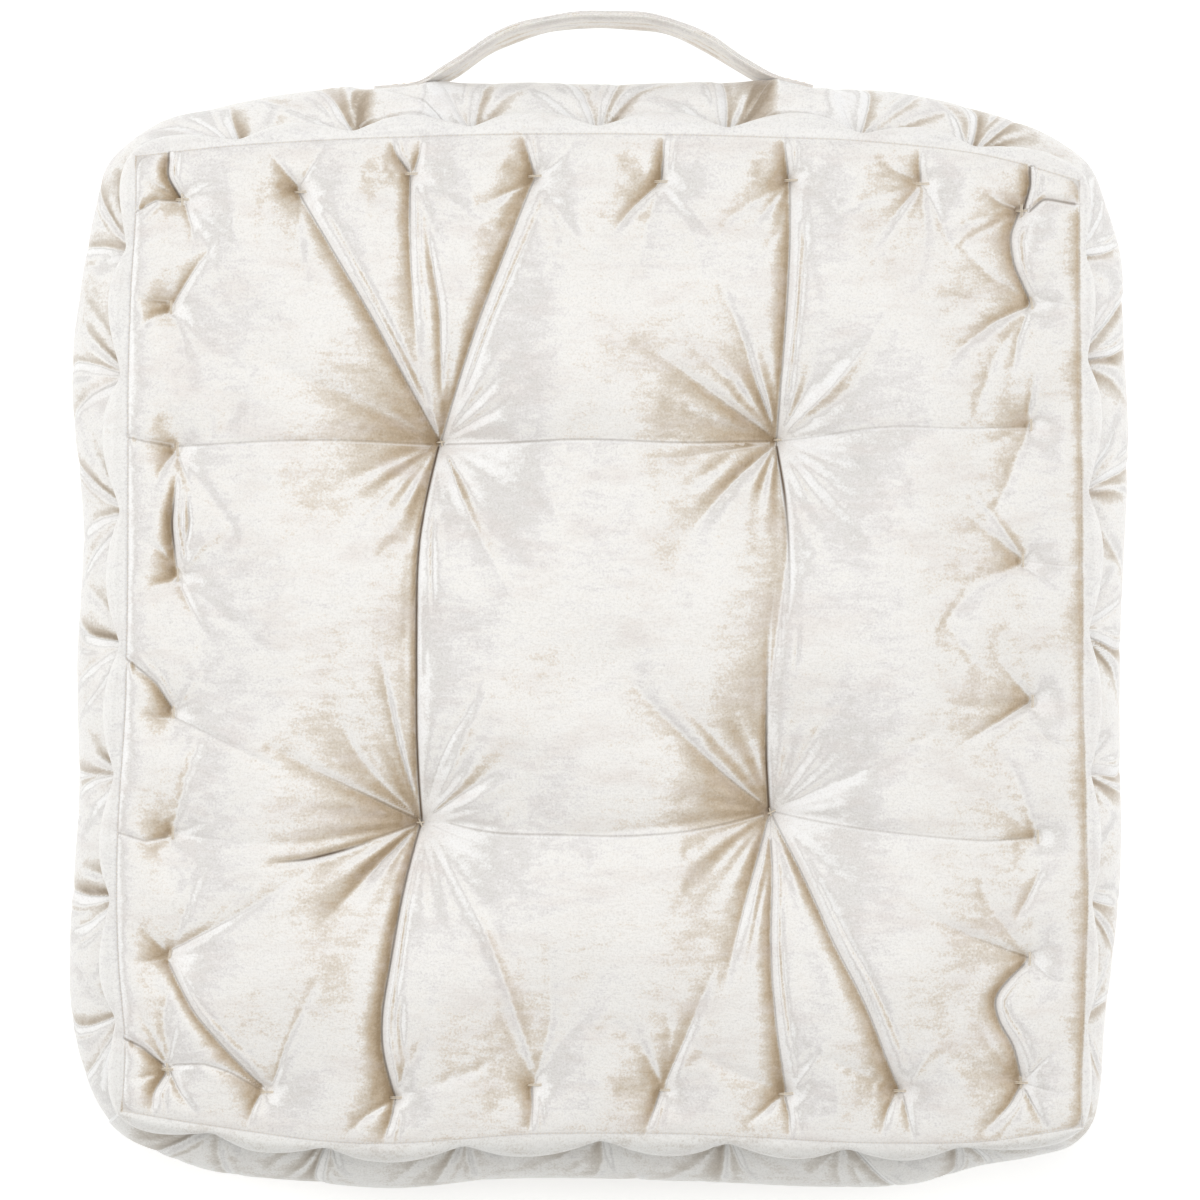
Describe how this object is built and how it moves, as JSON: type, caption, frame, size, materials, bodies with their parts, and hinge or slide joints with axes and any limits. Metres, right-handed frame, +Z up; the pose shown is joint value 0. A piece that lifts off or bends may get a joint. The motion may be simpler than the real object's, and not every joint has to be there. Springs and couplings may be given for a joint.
{
  "type": "floor pillow",
  "caption": "Square velvet floor pillow with a rolled mattress-stitched edge, tied tufts and a carry strap on one side.",
  "frame": {"origin": "middle of the flat underside, where the pillow rests on the floor", "axes": "+Z up out of the tufted face, +Y towards the side with the carry strap, +X along that side"},
  "size_m": [0.508, 0.5658, 0.1241],
  "materials": {
    "cover_velvet": "pressed polyester velvet, champagne ivory, cloudy nap",
    "strap_velvet": "folded polyester velvet strip, champagne ivory"
  },
  "bodies": {
    "root": {"cushion": "cover_velvet", "carry_strap": "strap_velvet"}
  },
  "joints": []
}
